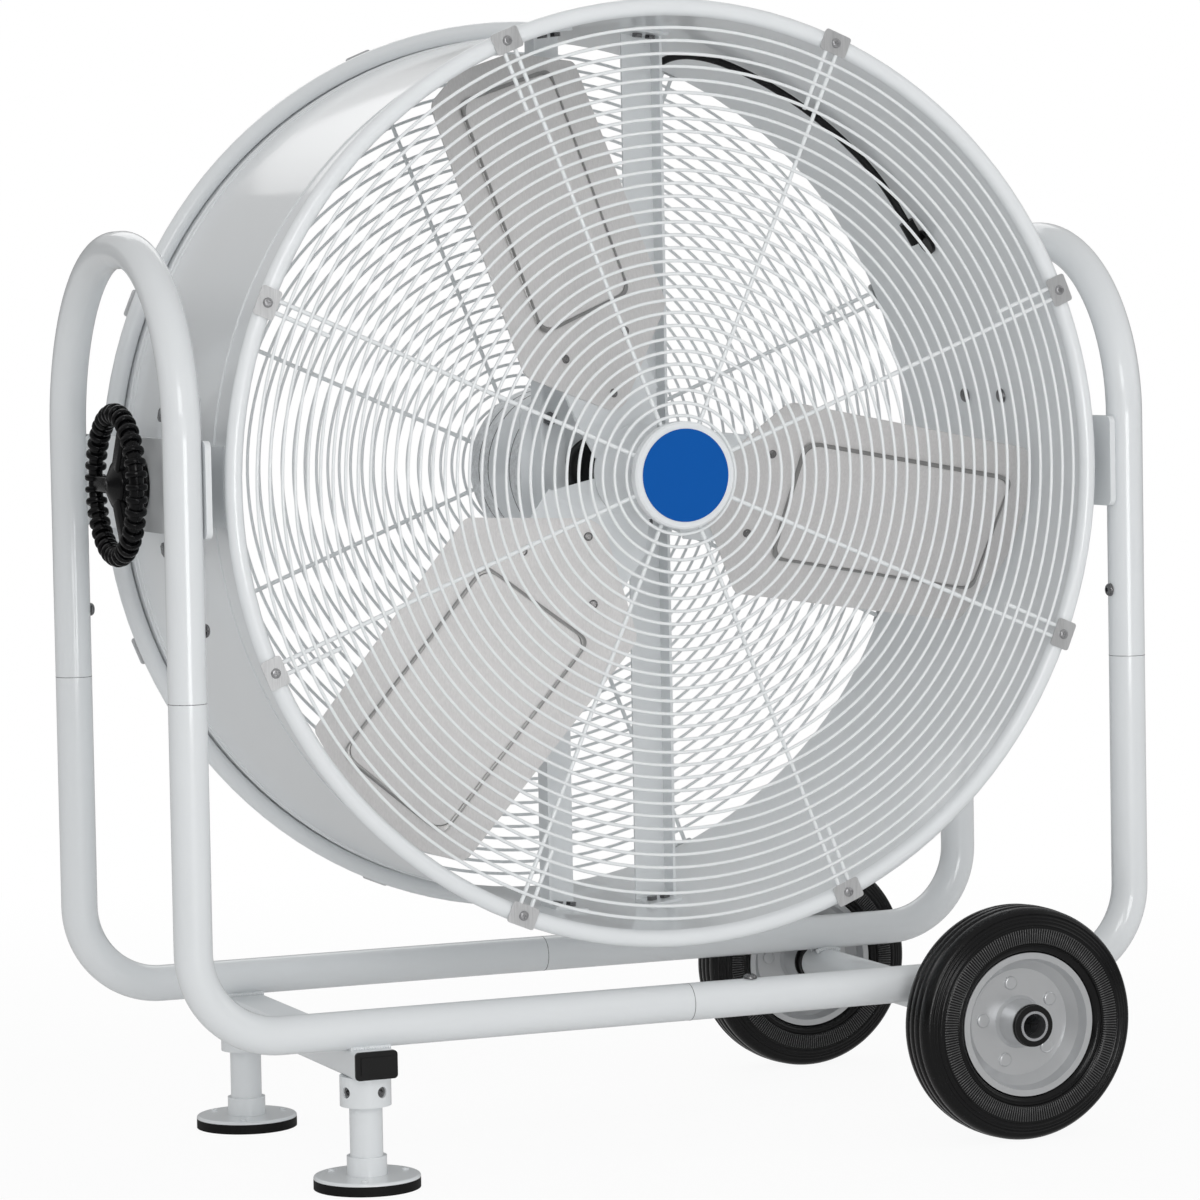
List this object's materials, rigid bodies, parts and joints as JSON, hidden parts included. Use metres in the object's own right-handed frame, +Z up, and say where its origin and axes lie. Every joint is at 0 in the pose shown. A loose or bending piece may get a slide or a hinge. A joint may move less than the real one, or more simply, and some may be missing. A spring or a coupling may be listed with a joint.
{
  "type": "drum fan",
  "caption": "Large portable drum fan: a caged round drum that tilts between two bent tube bows on a wheeled base with levelling feet.",
  "frame": {"origin": "on the floor under the middle of the bounding box, below the drum's axis", "axes": "+X to the right seen from the front guard, +Y to the back along the air's way in, +Z up"},
  "size_m": [1.0792, 0.598, 1.1819],
  "materials": {
    "frame_paint": "gloss",
    "drum_paint": "gloss",
    "guard_paint": "gloss",
    "spider_paint": "satin",
    "blade_metal": "satin",
    "rivet_steel": "satin",
    "dark_steel": "satin",
    "bright_steel": "satin",
    "clip_steel": "brushed",
    "screw_steel": "satin",
    "badge_blue": "gloss",
    "motor_paint": "satin",
    "motor_cast": "satin",
    "stator_iron": "matt",
    "cable_black": "matt",
    "gland_black": "matt",
    "handwheel_black": "gloss",
    "plug_black": "matt",
    "rim_zinc": "satin",
    "tyre_rubber": "matt",
    "bush_black": "matt",
    "pad_rubber": "matt"
  },
  "bodies": {
    "frame": {"left_upper_tube": "frame_paint", "right_upper_tube": "frame_paint", "front_left_base_tube": "frame_paint", "front_right_base_tube": "frame_paint", "rear_left_base_tube": "frame_paint", "rear_right_base_tube": "frame_paint", "joint_sleeves": "bright_steel", "frame_bolts": "dark_steel", "left_pivot_plate": "frame_paint", "right_pivot_plate": "frame_paint", "foot_beam": "frame_paint", "foot_beam_plugs": "plug_black", "foot_clamp_collars": "frame_paint", "clamp_set_screws": "dark_steel", "axle_tube": "frame_paint", "axle_shaft": "bright_steel", "axle_retainers": "bush_black"},
    "drum": {"drum_shell": "drum_paint", "front_guard": "guard_paint", "rear_guard": "guard_paint", "guard_clips": "clip_steel", "guard_clip_screws": "screw_steel", "guard_cap": "drum_paint", "centre_disc": "badge_blue", "left_strut": "drum_paint", "right_strut": "drum_paint", "strut_bolts": "dark_steel", "motor_plate": "drum_paint", "motor_front_bell": "motor_cast", "motor_body": "motor_paint", "motor_stator": "stator_iron", "motor_rear_bell": "motor_cast", "motor_bolts": "dark_steel", "motor_cable": "cable_black", "cable_gland": "gland_black", "left_pivot_bracket": "drum_paint", "right_pivot_bracket": "drum_paint", "bracket_screws": "dark_steel", "pivot_studs": "bright_steel"},
    "rotor": {"motor_shaft": "bright_steel", "fan_spider": "spider_paint", "blade_1": "blade_metal", "blade_2": "blade_metal", "blade_3": "blade_metal", "blade_rivets": "rivet_steel"},
    "handwheel": {"handwheel": "handwheel_black"},
    "front_wheel": {"front_wheel_tyre": "tyre_rubber", "front_wheel_rim": "rim_zinc", "front_wheel_bush": "bush_black"},
    "rear_wheel": {"rear_wheel_tyre": "tyre_rubber", "rear_wheel_rim": "rim_zinc", "rear_wheel_bush": "bush_black"},
    "front_foot": {"front_foot_post": "frame_paint", "front_foot_plate": "frame_paint", "front_foot_pad": "pad_rubber", "front_foot_screws": "frame_paint"},
    "rear_foot": {"rear_foot_post": "frame_paint", "rear_foot_plate": "frame_paint", "rear_foot_pad": "pad_rubber", "rear_foot_screws": "frame_paint"}
  },
  "joints": [
    {"name": "drum_tilt", "type": "hinge", "parent": "frame", "child": "drum", "pos_m": [0, 0, 0.698], "axis": [1, 0, 0], "range_deg": [-90, 90]},
    {"name": "fan_spin", "type": "hinge", "parent": "drum", "child": "rotor", "pos_m": [0, 0, 0.698], "axis": [0, 1, 0], "continuous": true},
    {"name": "handwheel_turn", "type": "hinge", "parent": "drum", "child": "handwheel", "pos_m": [-0.5285, 0, 0.698], "axis": [1, 0, 0], "range_deg": [-180, 180]},
    {"name": "front_wheel_roll", "type": "hinge", "parent": "frame", "child": "front_wheel", "pos_m": [0.35, -0.262, 0.1215], "axis": [0, 1, 0], "continuous": true},
    {"name": "rear_wheel_roll", "type": "hinge", "parent": "frame", "child": "rear_wheel", "pos_m": [0.35, 0.262, 0.1215], "axis": [0, 1, 0], "continuous": true},
    {"name": "front_foot_slide", "type": "slide", "parent": "frame", "child": "front_foot", "axis": [0, 0, 1], "range_m": [-0.015, 0.018]},
    {"name": "rear_foot_slide", "type": "slide", "parent": "frame", "child": "rear_foot", "axis": [0, 0, 1], "range_m": [-0.015, 0.018]}
  ]
}
